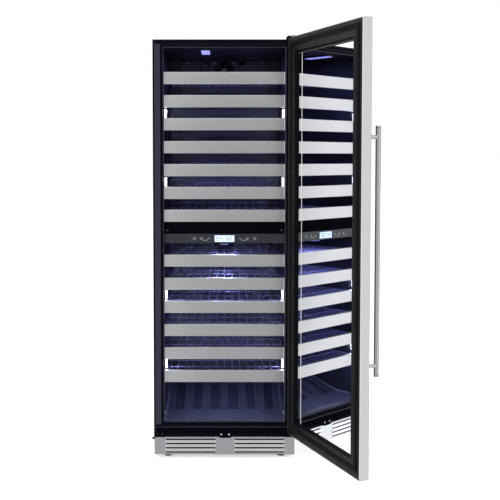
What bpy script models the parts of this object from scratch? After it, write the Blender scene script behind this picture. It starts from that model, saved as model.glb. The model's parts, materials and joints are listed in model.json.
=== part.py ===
"""Built-in two-zone wine cooler: insulated cabinet, sliding bottle racks, glass door standing open.

Metres, +Z up. The origin is on the floor, on the cabinet's centre plane, under its front face. The front
faces -Y and the door's hinge line is on the +X side.
"""

import math

import bmesh
import bpy
from mathutils import Matrix

# ---------------------------------------------------------------- driving sizes, in metres
CAB_W, CAB_D, CAB_H = 0.595, 0.630, 1.755
GAP = 0.0003  # clearance between pieces that touch
EDGE_R, PANEL_EDGE_R = 0.002, 0.0008  # rounded edges of sheet pieces, and of the control strip
FOOT_H, FOOT_R, FOOT_STEM_R, FOOT_INSET_X, FOOT_INSET_Y = 0.0155, 0.015, 0.010, 0.0575, 0.045
BODY_Z = 0.092  # underside of the insulated body
SKIN = 0.001  # casing and rear panel sheet
FLANGE_T = 0.012  # front frame, front to back
SIDE_WALL, TOP_WALL, REAR_WALL, FLOOR_WALL = 0.042, 0.030, 0.075, 0.063
LINER_T = 0.0015
OPENING_R = 0.012
# The cavity floor rises in a ramp to a low step over the compressor, on foam of even thickness.
RAMP_Y, RAMP_RUN, RAMP_RISE, RAMP_FOAM = 0.160, 0.260, 0.080, 0.040

DIVIDER_H = 0.088  # partition between the zones
CONTROL_H, CONTROL_T, BLANK_T = 0.0385, 0.018, 0.014
DIVIDER_Y = 0.034
DISPLAY_W, DISPLAY_H, DISPLAY_T = 0.082, 0.027, 0.0015

UPPER_SHELVES, LOWER_SHELVES = 7, 6
FRONT_H, FRONT_T, FRONT_Y, FRONT_SIDE = 0.051, 0.018, 0.014, 0.003
TOP_BAY, LOWER_BAY, SHELF_LIFT, BOTTOM_BAY = 0.102, 0.048, 0.0015, 0.166
LOWER_EXTRA = 0.0026  # how much further apart the lower zone's shelves are than the upper zone's
RACK_T, RACK_DROP, RACK_SIDE, RACK_BACK = 0.005, 0.014, 0.004, 0.012
WIRE_W, WIRES, RAIL_W = 0.005, 14, 0.006
LEDGE_W, LEDGE_H, LEDGE_INSET = 0.011, 0.007, 0.030

DUCT_T, DUCT_SIDE, DUCT_END = 0.022, 0.052, 0.004
FAN_R, FAN_RUN, FAN_BLADES, FAN_BELOW_TOP = 0.040, 0.004, 5, 0.047
HUB_SHARE = 0.36  # a fan's hub radius, as a share of its own radius
VENT_W, VENT_H, VENTS, VENT_PITCH = 0.240, 0.008, 5, 0.070

DOOR_LIFT, DOOR_OVER, DOOR_T, DOOR_OFF, DOOR_SIDE = 0.020, 0.004, 0.039, 0.006, 0.001
STILE_W, RAIL_H, INNER_REVEAL = 0.060, 0.060, 0.004
INNER_T, LIP, GLASS_T, GLASS_LIP, GLASS_COVER = 0.010, 0.002, 0.004, 0.004, 0.007
GASKET_W, GASKET_REVEAL = 0.018, 0.0035
HINGE_IN = 0.0135  # hinge line from the cabinet's side face
DOOR_OPEN = math.radians(111.8)
PIN_R, PIN_RUN, PIN_LEN = 0.004, 0.001, 0.014
HINGE_PLATE, HINGE_W, HINGE_BACK, HINGE_NOSE = 0.005, 0.040, 0.045, 0.006

HANDLE_R, HANDLE_OFF, HANDLE_IN, HANDLE_Z, HANDLE_LEN = 0.0095, 0.045, 0.0295, 0.476, 0.906
POST_R, POST_IN = 0.0065, 0.041

SLOT_H, SLOTS, SLOT_TOP_IN, SLOT_BOTTOM_IN = 0.0054, 4, 0.0115, 0.011
BANK_SIDE_LEFT, BANK_SIDE_RIGHT = 0.0505, 0.0465  # louvre banks, from the cabinet's sides
PLATE_LEFT, PLATE_RIGHT = 0.038, 0.044  # plain plate between the louvre banks
PAN_T, PAN_SIDE = 0.0015, 0.001
COMPRESSOR_R, COMPRESSOR_H, COMPRESSOR_X, COMPRESSOR_REAR = 0.075, 0.170, -0.120, 0.130
# The condenser fills the room between the compressor and the right side's foam.
CONDENSER_LEFT, CONDENSER_SIDE, CONDENSER_REAR = 0.020, 0.0373, 0.105
CONDENSER_T, CONDENSER_H, FINS = 0.045, 0.150, 9
COOLING_FAN_R = 0.055

# ---------------------------------------------------------------- sizes that follow from them
HALF = CAB_W / 2
CAVITY_HALF = HALF - SIDE_WALL
CAVITY_TOP = CAB_H - TOP_WALL
CAVITY_FLOOR = BODY_Z + FLOOR_WALL
RAMP_END, HUMP_TOP = RAMP_Y + RAMP_RUN, CAVITY_FLOOR + RAMP_RISE
MACHINE_TOP = HUMP_TOP - LINER_T - GAP - RAMP_FOAM
REAR_VENT_PITCH = (MACHINE_TOP - BODY_Z) / (VENTS + 1)
CAVITY_BACK = CAB_D - REAR_WALL
BODY_Y = FLANGE_T + GAP  # front of everything behind the front frame
REAR_Y = CAB_D - SKIN - GAP  # inside of the rear panel
DUCT_Y = CAVITY_BACK - GAP - DUCT_T
FOAM_OUT = HALF - SKIN - GAP
FOAM_IN = CAVITY_HALF + LINER_T + GAP
DOOR_Z, DOOR_TOP = BODY_Z + DOOR_LIFT, CAB_H + DOOR_OVER
DOOR_HALF = HALF - DOOR_SIDE
DOOR_BACK, DOOR_FRONT = -DOOR_OFF, -DOOR_OFF - DOOR_T
HINGE_X, HINGE_Y = HALF - HINGE_IN, (DOOR_BACK + DOOR_FRONT) / 2


# Undersides of the top and bottom shelf fronts; the divider stands where both zones' shelves fit evenly.
HIGHEST = CAVITY_TOP - TOP_BAY - FRONT_H
LOWEST = CAVITY_FLOOR + BOTTOM_BAY
ZONE_BREAK = LOWER_BAY + FRONT_H + DIVIDER_H + SHELF_LIFT
UPPER_STEPS, LOWER_STEPS = UPPER_SHELVES - 1, LOWER_SHELVES - 1
SHARED = HIGHEST - LOWEST - ZONE_BREAK - LOWER_STEPS * LOWER_EXTRA
UPPER_PITCH = SHARED / (UPPER_STEPS + LOWER_STEPS)
LOWER_PITCH = UPPER_PITCH + LOWER_EXTRA
DIVIDER_Z = LOWEST + LOWER_STEPS * LOWER_PITCH + FRONT_H + LOWER_BAY
DIVIDER_TOP = DIVIDER_Z + DIVIDER_H
SHELF_Z = [HIGHEST - i * UPPER_PITCH for i in range(UPPER_SHELVES)]
SHELF_Z += [LOWEST + i * LOWER_PITCH for i in reversed(range(LOWER_SHELVES))]


# ---------------------------------------------------------------- helpers
def clear_scene():
    for obj in list(bpy.data.objects):
        bpy.data.objects.remove(obj, do_unlink=True)


def collection(name):
    made = bpy.data.collections.new(name)
    bpy.context.scene.collection.children.link(made)
    return made


def material(name, colour, roughness, metallic=0.0, alpha=1.0):
    made = bpy.data.materials.new(name)
    made.use_nodes = True
    shader = made.node_tree.nodes["Principled BSDF"]
    shader.inputs["Base Color"].default_value = (*colour, 1.0)
    shader.inputs["Roughness"].default_value = roughness
    shader.inputs["Metallic"].default_value = metallic
    shader.inputs["Alpha"].default_value = alpha
    made.diffuse_color = (*colour, alpha)
    return made


def box_mesh(name, boxes, radius=0.0, axis=None, segments=3):
    """One mesh of axis-aligned boxes, the edges along one axis (or all edges) rounded by radius."""
    bm = bmesh.new()
    for lo, hi in boxes:
        made = bmesh.ops.create_cube(bm, size=1.0)["verts"]
        for v in made:
            for i in range(3):
                v.co[i] = lo[i] + (hi[i] - lo[i]) * (v.co[i] + 0.5)
    if radius:
        edges = [
            e
            for e in bm.edges
            if axis is None or abs((e.verts[0].co - e.verts[1].co).normalized()[axis]) > 0.99
        ]
        bmesh.ops.bevel(
            bm, geom=edges, offset=radius, segments=segments, affect="EDGES", profile=0.5
        )
    mesh = bpy.data.meshes.new(name)
    bm.to_mesh(mesh)
    bm.free()
    return mesh


def cylinder_mesh(name, radius, start, end, axis, at, sides=24):
    """A cylinder along one axis from start to end, through the point at."""
    bm = bmesh.new()
    bmesh.ops.create_cone(
        bm, cap_ends=True, segments=sides, radius1=radius, radius2=radius, depth=1.0
    )
    order = {0: (2, 0, 1), 1: (1, 2, 0), 2: (0, 1, 2)}[axis]
    for v in bm.verts:
        local = (v.co.x, v.co.y, v.co.z)
        co = [local[i] for i in order]
        for i in range(3):
            v.co[i] = start + (end - start) * (co[i] + 0.5) if i == axis else at[i] + co[i]
    mesh = bpy.data.meshes.new(name)
    bm.to_mesh(mesh)
    bm.free()
    return mesh


def outline_mesh(name, points, start, end, axis=1):
    """A flat outline extruded along an axis: in X and Z along Y, or in Y and Z along X."""
    curve = bpy.data.curves.new(name, "CURVE")
    curve.dimensions = "2D"
    curve.fill_mode = "BOTH"
    curve.extrude = (end - start) / 2
    spline = curve.splines.new("POLY")
    spline.points.add(len(points) - 1)
    for p, (across, z) in zip(spline.points, points):
        p.co = (across, z, 0.0, 1.0)
    spline.use_cyclic_u = True
    guide = bpy.data.objects.new(name, curve)
    bpy.context.scene.collection.objects.link(guide)
    graph = bpy.context.evaluated_depsgraph_get()
    mesh = bpy.data.meshes.new_from_object(guide.evaluated_get(graph))
    bpy.data.objects.remove(guide, do_unlink=True)
    bm = bmesh.new()
    bm.from_mesh(mesh)
    for v in bm.verts:
        across, z, along = v.co
        along = (start + end) / 2 - along
        v.co = (along, across, z) if axis == 0 else (across, along, z)
    bmesh.ops.remove_doubles(bm, verts=bm.verts, dist=1e-6)
    bm.normal_update()
    bmesh.ops.recalc_face_normals(bm, faces=bm.faces)
    bm.to_mesh(mesh)
    bm.free()
    return mesh


def centred(obj, point):
    """Moves an object's origin to a point of the world, leaving its mesh where it is."""
    obj.data.transform(Matrix.Translation([-c for c in point]))
    obj.location = point
    return obj


def part(name, mesh, mat, origin=None, parent=None):
    """A named piece of the cooler. Its mesh is given in the cabinet's frame, the door closed."""
    obj = bpy.data.objects.new(name, mesh)
    PARTS.objects.link(obj)
    mesh.name = name
    if not mesh.materials:
        mesh.materials.append(mat)
    if origin:
        centred(obj, origin)
    hang(obj, parent)
    return obj


def hang(obj, parent):
    if parent:
        obj.parent = parent
        obj.matrix_parent_inverse.translation = [-c for c in parent.location]


def helper(name, mesh, parent=None):
    obj = bpy.data.objects.new(name, mesh)
    CUTTERS.objects.link(obj)
    obj.hide_render = True
    obj.display_type = "WIRE"
    hang(obj, parent)
    return obj


def combine(obj, operation, mesh, parent=None):
    """Cuts a mesh from a piece, or joins one to it, with a live Boolean."""
    mod = obj.modifiers.new(operation.lower(), "BOOLEAN")
    mod.operation = operation
    mod.solver = "EXACT"
    mod.object = helper(f"{obj.name}_{operation.lower()}_{len(obj.modifiers)}", mesh, parent)


def cut(obj, mesh, parent=None):
    combine(obj, "DIFFERENCE", mesh, parent)


def join(obj, mesh, parent=None):
    combine(obj, "UNION", mesh, parent)


def slab(half, z0, z1, y0, y1):
    """One box across the centre plane, as a list for box_mesh."""
    return [((-half, y0, z0), (half, y1, z1))]


def smooth(obj, angle=math.radians(35)):
    obj.data.shade_smooth()
    obj.data.set_sharp_from_angle(angle=angle)


# ---------------------------------------------------------------- cabinet
def build_casing():
    casing = part(
        "outer_casing",
        box_mesh("casing", [((-HALF, BODY_Y, BODY_Z), (HALF, REAR_Y, CAB_H))]),
        BLACK_STEEL,
    )
    inside = [
        (
            (-HALF + SKIN, BODY_Y - SKIN, BODY_Z - SKIN),
            (HALF - SKIN, REAR_Y + SKIN, CAB_H - SKIN),
        )
    ]
    cut(casing, box_mesh("casing_inside", inside))

    rear = part(
        "rear_panel",
        box_mesh("rear", [((-HALF, CAB_D - SKIN, FOOT_H), (HALF, CAB_D, CAB_H))]),
        GALVANISED,
    )
    vents = [
        (
            (-VENT_W / 2, CAB_D - 2 * SKIN, z),
            (VENT_W / 2, CAB_D + SKIN, z + VENT_H),
        )
        for z in (BODY_Z + (i + 1) * REAR_VENT_PITCH - VENT_H / 2 for i in range(VENTS))
    ]
    cut(rear, box_mesh("rear_vents", vents))

    flange = part(
        "front_flange",
        box_mesh("flange", slab(HALF, BODY_Z, CAB_H, 0, FLANGE_T), EDGE_R, None, 1),
        BLACK_SATIN,
    )
    opening = slab(CAVITY_HALF, CAVITY_FLOOR, CAVITY_TOP, -FLANGE_T, 2 * FLANGE_T)
    cut(flange, box_mesh("flange_opening", opening, OPENING_R, 1, 4))


def build_foam():
    top = CAB_H - SKIN - GAP
    for side, name in ((-1, "left"), (1, "right")):
        xs = sorted((side * FOAM_IN, side * FOAM_OUT))
        block = [((xs[0], BODY_Y, BODY_Z), (xs[1], REAR_Y, top))]
        part(f"foam_{name}", box_mesh(name, block), FOAM)
    half = FOAM_IN - GAP
    ceiling = CAVITY_TOP + LINER_T + GAP
    part("foam_top", box_mesh("top", slab(half, ceiling, top, BODY_Y, REAR_Y)), FOAM)

    under = LINER_T + GAP
    hump, back = HUMP_TOP - under, CAVITY_BACK + under
    part("foam_rear", box_mesh("rear", slab(half, hump + GAP, ceiling - GAP, back, REAR_Y)), FOAM)
    profile = [
        (BODY_Y, BODY_Z),
        (RAMP_Y + RAMP_FOAM, BODY_Z),
        (RAMP_END + RAMP_FOAM / 2, MACHINE_TOP),
        (REAR_Y, MACHINE_TOP),
        (REAR_Y, hump),
        (RAMP_END + under / 2, hump),
        (RAMP_Y + under / 2, CAVITY_FLOOR - under),
        (BODY_Y, CAVITY_FLOOR - under),
    ]
    part("foam_floor", outline_mesh("floor", profile, -half, half, 0), FOAM)


def cavity_profile(front, grow):
    """The cavity seen from the side, in Y and Z, made larger all round by grow."""
    low, high = CAVITY_FLOOR - grow, CAVITY_TOP + grow
    back, hump = CAVITY_BACK + grow, HUMP_TOP - grow
    ramp = (RAMP_Y + grow / 2, RAMP_END + grow / 2)
    return [(front, low), (ramp[0], low), (ramp[1], hump), (back, hump), (back, high), (front, high)]


def build_liner():
    """The moulded inner tub, open to the front, with a pair of ledges for each rack."""
    half, t = CAVITY_HALF, LINER_T
    outer = outline_mesh("liner", cavity_profile(BODY_Y, t), -half - t, half + t, 0)
    liner = part("inner_liner", outer, LINER)
    cut(liner, outline_mesh("cavity", cavity_profile(0.0, 0.0), -half, half, 0))

    ledges = []
    front, back = LEDGE_INSET + DIVIDER_Y, DUCT_Y - LEDGE_INSET
    for z in SHELF_Z:
        top = rack_bottom(z) - GAP
        for side in (-1, 1):
            xs = sorted((side * (half - LEDGE_W), side * (half + t / 2)))
            ledges.append(((xs[0], front, top - LEDGE_H), (xs[1], back, top)))
    join(liner, box_mesh("ledges", ledges))


def build_base():
    half = HALF - PAN_SIDE
    y0, y1, z1 = BODY_Y, REAR_Y, BODY_Z - GAP
    pan = part(
        "base_pan", box_mesh("pan", [((-half, y0, FOOT_H), (half, y1, z1))]), GALVANISED
    )
    inside = [((-half + PAN_T, y0 + PAN_T, FOOT_H + PAN_T), (half - PAN_T, y1 - PAN_T, z1 + PAN_T))]
    cut(pan, box_mesh("pan_inside", inside))

    kick = part(
        "toe_kick_grille",
        box_mesh("kick", slab(half, FOOT_H, BODY_Z - GAP, 0, FLANGE_T), EDGE_R, None, 1),
        STAINLESS,
    )
    slots = []
    top, bottom = BODY_Z - SLOT_TOP_IN, FOOT_H + SLOT_BOTTOM_IN
    for x0, x1 in ((BANK_SIDE_LEFT - HALF, -PLATE_LEFT), (PLATE_RIGHT, HALF - BANK_SIDE_RIGHT)):
        for i in range(SLOTS):
            z = top - (top - bottom) * i / (SLOTS - 1)
            slots.append(((x0, -FLANGE_T, z - SLOT_H / 2), (x1, 2 * FLANGE_T, z + SLOT_H / 2)))
    cut(kick, box_mesh("kick_slots", slots))

    profile = (
        (0.0, FOOT_H - GAP),
        (FOOT_STEM_R, FOOT_H - GAP),
        (FOOT_STEM_R, FOOT_H / 2),
        (FOOT_R, FOOT_H / 3),
        (FOOT_R, 0.0),
        (0.0, 0.0),
    )
    for row, y in (("front", FOOT_INSET_Y), ("rear", CAB_D - FOOT_INSET_Y)):
        for side, x in (("left", FOOT_INSET_X - HALF), ("right", HALF - FOOT_INSET_X)):
            turned(f"foot_{row}_{side}", profile, (x, y, 0.0), RUBBER, 20)


def turned(name, profile, at, mat, steps):
    """A piece turned about a vertical axis, from (radius, height) points running top to bottom."""
    mesh = bpy.data.meshes.new(name)
    bm = bmesh.new()
    verts = [bm.verts.new((r, 0.0, z)) for r, z in profile]
    for a, b in zip(verts, verts[1:]):
        bm.edges.new((a, b))
    bm.to_mesh(mesh)
    bm.free()
    obj = bpy.data.objects.new(name, mesh)
    PARTS.objects.link(obj)
    mesh.materials.append(mat)
    obj.location = at
    screw = obj.modifiers.new("turn", "SCREW")
    screw.steps = screw.render_steps = steps
    screw.use_merge_vertices = True
    screw.merge_threshold = 1e-5
    screw.use_smooth_shade = True
    return obj


def build_divider():
    half = CAVITY_HALF - GAP
    z0, z1 = DIVIDER_Z, DIVIDER_TOP
    divider = part(
        "zone_divider",
        box_mesh("divider", [((-half, DIVIDER_Y, z0), (half, DUCT_Y - GAP, z1))]),
        BLACK_PLASTIC,
    )
    face_y = DIVIDER_Y - CONTROL_T
    face_half = half - FRONT_SIDE
    blank_lo = (-face_half, DIVIDER_Y - BLANK_T, z0 + CONTROL_H + GAP)
    join(divider, box_mesh("blank", [(blank_lo, (face_half, DIVIDER_Y + BLANK_T, z1))]))
    control = [((-face_half, face_y, z0), (face_half, DIVIDER_Y - GAP, z0 + CONTROL_H))]
    part("control_panel", box_mesh("control", control, PANEL_EDGE_R, None, 1), PANEL_GREY)
    mid = z0 + CONTROL_H / 2
    lo = (-DISPLAY_W / 2, face_y - GAP - DISPLAY_T, mid - DISPLAY_H / 2)
    hi = (DISPLAY_W / 2, face_y - GAP, mid + DISPLAY_H / 2)
    part("display", box_mesh("display", [(lo, hi)]), DISPLAY_GLASS)


def rotor_outline(radius, hub):
    """Fan seen along its axis: swept blades on a round hub, each corner a share of a blade's turn."""
    step = 2 * math.pi / FAN_BLADES
    shoulder = 0.8 * radius
    blade = ((0.0, hub), (0.22, shoulder), (0.30, radius), (0.62, radius), (0.72, shoulder), (0.60, hub))
    points = []
    for i in range(FAN_BLADES):
        for share, r in blade:
            a = (i + share) * step
            points.append((r * math.cos(a), r * math.sin(a)))
    return points


def rotor(name, radius, at, blade_y, hub_y, mat):
    """A fan rotor turning about an axis along Y, its hub longer than its blades."""
    hub = HUB_SHARE * radius
    mesh = outline_mesh(name, rotor_outline(radius, hub - LINER_T / 2), *blade_y)
    mesh.transform(Matrix.Translation((at[0], 0.0, at[1])))
    centre = (at[0], sum(blade_y) / 2, at[1])
    obj = part(name, mesh, mat, origin=centre)
    join(obj, cylinder_mesh(name + "_hub", hub, *hub_y, 1, (at[0], 0.0, at[1]), 20))
    return obj


def build_ducts():
    half = CAVITY_HALF - DUCT_SIDE
    back = CAVITY_BACK - GAP
    for zone, z0, z1 in (
        ("upper", DIVIDER_TOP + GAP, CAVITY_TOP - DUCT_END),
        ("lower", HUMP_TOP + DUCT_END, DIVIDER_Z - GAP),
    ):
        duct = part(
            f"{zone}_air_duct", box_mesh(zone, [((-half, DUCT_Y, z0), (half, back, z1))]), DUCT
        )
        fan_z = z1 - FAN_BELOW_TOP
        hole = (0.0, 0.0, fan_z)
        reach = (DUCT_Y - DUCT_T, back + DUCT_T)
        cut(duct, cylinder_mesh(zone + "_hole", FAN_R + FAN_RUN, *reach, 1, hole, 28))
        vents = []
        for i in range(VENTS):
            z = fan_z - FAN_R - VENT_PITCH * (i + 1)
            vents.append(((-VENT_W / 2, reach[0], z), (VENT_W / 2, reach[1], z + VENT_H)))
        cut(duct, box_mesh(zone + "_vents", vents))
        blades = (DUCT_Y + FAN_RUN, DUCT_Y + DUCT_T / 2)
        hub = (blades[0] - FAN_RUN / 2, back)
        rotor(f"{zone}_fan_rotor", FAN_R, (0.0, fan_z), blades, hub, FAN)


def build_cooling():
    floor = FOOT_H + PAN_T + GAP
    r, h = COMPRESSOR_R, COMPRESSOR_H
    dome = [math.radians(angle) for angle in range(18, 91, 18)]
    # A flattened dome, a welded seam that stands out at the middle, and a narrower foot.
    profile = [(0.0, h)]
    profile += [(r * math.sin(a), h - r * 0.55 * (1 - math.cos(a))) for a in dome]
    profile += [(r, h * 0.45), (r * 1.06, h * 0.42), (r * 1.06, h * 0.38), (r, h * 0.35)]
    profile += [(r * 0.85, h * 0.06), (r * 0.6, 0.0), (0.0, 0.0)]
    at = (COMPRESSOR_X, CAB_D - COMPRESSOR_REAR, floor)
    turned("compressor", profile, at, COMPRESSOR_BLACK, 24)

    x0, x1 = CONDENSER_LEFT, FOAM_IN - CONDENSER_SIDE
    y1 = CAB_D - CONDENSER_REAR
    y0, z1 = y1 - CONDENSER_T, floor + CONDENSER_H
    core = box_mesh("core", [((x0, y0, floor), (x1, y1, z1))])
    condenser = part("condenser", core, ALUMINIUM)
    fin = (x1 - x0) / (2 * FINS + 1)
    gaps = []
    for i in range(FINS):
        left = x0 + (2 * i + 1) * fin
        gaps.append(((left, y0 - fin, floor + fin), (left + fin, y0 + CONDENSER_T / 2, z1 - fin)))
    cut(condenser, box_mesh("fin_gaps", gaps))
    hub = (y1 + GAP, y1 + CONDENSER_T)
    blades = (hub[0] + FAN_RUN, hub[0] + 4 * FAN_RUN)
    at = ((x0 + x1) / 2, floor + CONDENSER_H / 2)
    rotor("condenser_fan_rotor", COOLING_FAN_R, at, blades, hub, FAN)


# ---------------------------------------------------------------- shelves
def rack_bottom(front_z):
    return front_z + FRONT_H - RACK_DROP - RACK_T


def rack_mesh():
    """A bottle rack at height 0: side rails, cross rails and wires from front to back."""
    half = CAVITY_HALF - RACK_SIDE
    y0, y1 = FRONT_Y + FRONT_T + GAP, DUCT_Y - RACK_BACK
    plate = box_mesh("plate", [((-half, y0, 0.0), (half, y1, RACK_T))])
    plate_obj = bpy.data.objects.new("rack_plate", plate)
    CUTTERS.objects.link(plate_obj)
    gaps = []
    inner = half - RAIL_W
    pitch = (2 * inner + WIRE_W) / (WIRES + 1)
    mid = (y0 + y1) / 2
    for row in ((y0 + RAIL_W, mid - RAIL_W / 2), (mid + RAIL_W / 2, y1 - RAIL_W)):
        for i in range(WIRES + 1):
            x = -inner + i * pitch
            gaps.append(((x, row[0], -RACK_T), (x + pitch - WIRE_W, row[1], 2 * RACK_T)))
    cut(plate_obj, box_mesh("rack_gaps", gaps))
    graph = bpy.context.evaluated_depsgraph_get()
    mesh = bpy.data.meshes.new_from_object(plate_obj.evaluated_get(graph))
    mesh.materials.clear()
    for used in (plate_obj.modifiers[0].object, plate_obj):
        bpy.data.objects.remove(used, do_unlink=True)
    return mesh


def build_shelves():
    half = CAVITY_HALF - FRONT_SIDE
    front = box_mesh("front", slab(half, 0.0, FRONT_H, FRONT_Y, FRONT_Y + FRONT_T), EDGE_R, None, 1)
    rack = rack_mesh()
    for i, z in enumerate(SHELF_Z, 1):
        for kind, mesh, mat, height in (
            ("front", front, STAINLESS, z),
            ("rack", rack, WIRE, rack_bottom(z)),
        ):
            obj = part(f"shelf_{i:02d}_{kind}", mesh, mat)
            obj.location = (0.0, 0.0, height)


# ---------------------------------------------------------------- door and hinges
def build_door():
    hinge = bpy.data.objects.new("door_hinge_line", None)
    PARTS.objects.link(hinge)
    hinge.location = (HINGE_X, HINGE_Y, 0.0)

    z0, z1 = DOOR_Z, DOOR_TOP
    frame = part(
        "door_frame",
        box_mesh("frame", slab(DOOR_HALF, z0, z1, DOOR_FRONT, DOOR_BACK), EDGE_R, None, 1),
        STAINLESS,
        parent=hinge,
    )
    see = DOOR_HALF - STILE_W
    through = slab(see, z0 + RAIL_H, z1 - RAIL_H, DOOR_FRONT - LIP, DOOR_BACK + LIP)
    cut(frame, box_mesh("through", through), hinge)
    pocket_half = see + GLASS_COVER + GAP
    pocket_z = RAIL_H - GLASS_COVER - GAP
    pocket_y = DOOR_FRONT + GLASS_LIP
    pocket = slab(pocket_half, z0 + pocket_z, z1 - pocket_z, pocket_y, DOOR_BACK + LIP)
    cut(frame, box_mesh("pocket", pocket), hinge)
    inner_y = DOOR_BACK - INNER_T
    rebate = slab(DOOR_HALF - LIP, z0 + LIP, z1 - LIP, inner_y, DOOR_BACK + LIP)
    cut(frame, box_mesh("rebate", rebate), hinge)
    pin_at = (HINGE_X, HINGE_Y, 0.0)
    bores = (("foot", z0 - LIP, z0 + PIN_LEN + LIP), ("head", z1 - PIN_LEN - LIP, z1 + LIP))
    for name, a, b in bores:
        cut(frame, cylinder_mesh(name, PIN_R + PIN_RUN, a, b, 2, pin_at, 16), hinge)

    seat = LIP + GAP
    inner = part(
        "door_inner_frame",
        box_mesh(
            "inner",
            slab(DOOR_HALF - seat, z0 + seat, z1 - seat, inner_y + GAP, DOOR_BACK),
        ),
        BLACK_PLASTIC,
        parent=hinge,
    )
    rail = RAIL_H + INNER_REVEAL
    hole = slab(see - INNER_REVEAL, z0 + rail, z1 - rail, DOOR_FRONT, DOOR_BACK + LIP)
    cut(inner, box_mesh("inner_hole", hole), hinge)

    pane_half, pane_z = see + GLASS_COVER, RAIL_H - GLASS_COVER
    for name, y in (("outer_glass", pocket_y + GAP), ("inner_glass", inner_y - GLASS_T)):
        pane = slab(pane_half, z0 + pane_z, z1 - pane_z, y, y + GLASS_T)
        part(name, box_mesh(name, pane), GLASS, parent=hinge)

    edge = CAVITY_HALF + GASKET_REVEAL + GASKET_W
    seal_z0, seal_z1 = CAVITY_FLOOR - GASKET_W, CAVITY_TOP + GASKET_W
    gasket = part(
        "door_gasket",
        box_mesh("gasket", slab(edge, seal_z0, seal_z1, DOOR_BACK + GAP, -GAP)),
        RUBBER,
        parent=hinge,
    )
    seal = slab(edge - GASKET_W, seal_z0 + GASKET_W, seal_z1 - GASKET_W, DOOR_BACK - LIP, LIP)
    cut(gasket, box_mesh("seal_hole", seal), hinge)

    build_handle(hinge)
    hinge.rotation_euler.z = DOOR_OPEN

    build_hinges()


def build_handle(hinge):
    x, y = -DOOR_HALF + HANDLE_IN, DOOR_FRONT - HANDLE_OFF
    z0, z1 = HANDLE_Z, HANDLE_Z + HANDLE_LEN
    bar = part(
        "handle",
        cylinder_mesh("bar", HANDLE_R, z0, z1, 2, (x, y, 0.0), 24),
        STAINLESS,
        parent=hinge,
    )
    for z in (z0 + POST_IN, z1 - POST_IN):
        join(bar, cylinder_mesh("post", POST_R, y, DOOR_FRONT - GAP, 1, (x, 0.0, z), 16), hinge)
    smooth(bar)


def build_hinges():
    at = (HINGE_X, HINGE_Y, 0.0)
    x0, x1 = HALF - HINGE_W, HALF - DOOR_SIDE
    front = HINGE_Y - PIN_R - HINGE_NOSE
    plate_z = DOOR_TOP + PIN_RUN
    upper = part(
        "upper_hinge",
        box_mesh("plate", [((x0, front, plate_z), (x1, HINGE_BACK, plate_z + HINGE_PLATE))]),
        HINGE_BLACK,
    )
    heel = [((x0, FLANGE_T, CAB_H + GAP), (x1, HINGE_BACK, plate_z + HINGE_PLATE / 2))]
    join(upper, box_mesh("heel", heel))
    pin = (DOOR_TOP - PIN_LEN, plate_z + HINGE_PLATE / 2)
    join(upper, cylinder_mesh("pin", PIN_R, *pin, 2, at, 16))

    top = DOOR_Z - PIN_RUN
    lower = part(
        "lower_hinge",
        box_mesh("plate", [((x0, front, top - HINGE_PLATE), (x1, -GAP, top))]),
        HINGE_BLACK,
    )
    leg = [((x0, -GAP - HINGE_PLATE, BODY_Z), (x1, -GAP, top - HINGE_PLATE / 2))]
    join(lower, box_mesh("leg", leg))
    join(lower, cylinder_mesh("pin", PIN_R, top - HINGE_PLATE / 2, DOOR_Z + PIN_LEN, 2, at, 16))


# ---------------------------------------------------------------- the whole cooler
clear_scene()
PARTS = collection("wine_cooler")
CUTTERS = collection("cutters")

BLACK_STEEL = material("black_steel", (0.012, 0.013, 0.016), 0.42, 0.3)
BLACK_SATIN = material("black_satin", (0.014, 0.015, 0.020), 0.35, 0.2)
BLACK_PLASTIC = material("black_plastic", (0.010, 0.011, 0.015), 0.45)
LINER = material("liner", (0.012, 0.012, 0.022), 0.40)
DUCT = material("duct", (0.014, 0.015, 0.024), 0.50)
FOAM = material("foam", (0.62, 0.50, 0.28), 0.90)
GALVANISED = material("galvanised", (0.42, 0.43, 0.44), 0.45, 0.9)
STAINLESS = material("stainless", (0.56, 0.56, 0.57), 0.30, 1.0)
ALUMINIUM = material("aluminium", (0.70, 0.71, 0.72), 0.40, 1.0)
WIRE = material("wire", (0.020, 0.020, 0.026), 0.35, 0.4)
RUBBER = material("rubber", (0.012, 0.012, 0.013), 0.75)
PANEL_GREY = material("panel_grey", (0.035, 0.038, 0.045), 0.30)
DISPLAY_GLASS = material("display", (0.55, 0.72, 1.0), 0.15)
GLASS = material("tinted_glass", (0.05, 0.06, 0.08), 0.03, 0.0, 0.35)
HINGE_BLACK = material("hinge_black", (0.015, 0.015, 0.017), 0.40, 0.6)
COMPRESSOR_BLACK = material("compressor_black", (0.010, 0.010, 0.010), 0.35, 0.2)
FAN = material("fan_grey", (0.03, 0.03, 0.035), 0.50)

build_casing()
build_foam()
build_liner()
build_base()
build_divider()
build_ducts()
build_cooling()
build_shelves()
build_door()
bpy.context.view_layer.update()
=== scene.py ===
import json
import math

import bmesh
import bpy
from mathutils import Matrix, Vector


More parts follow.
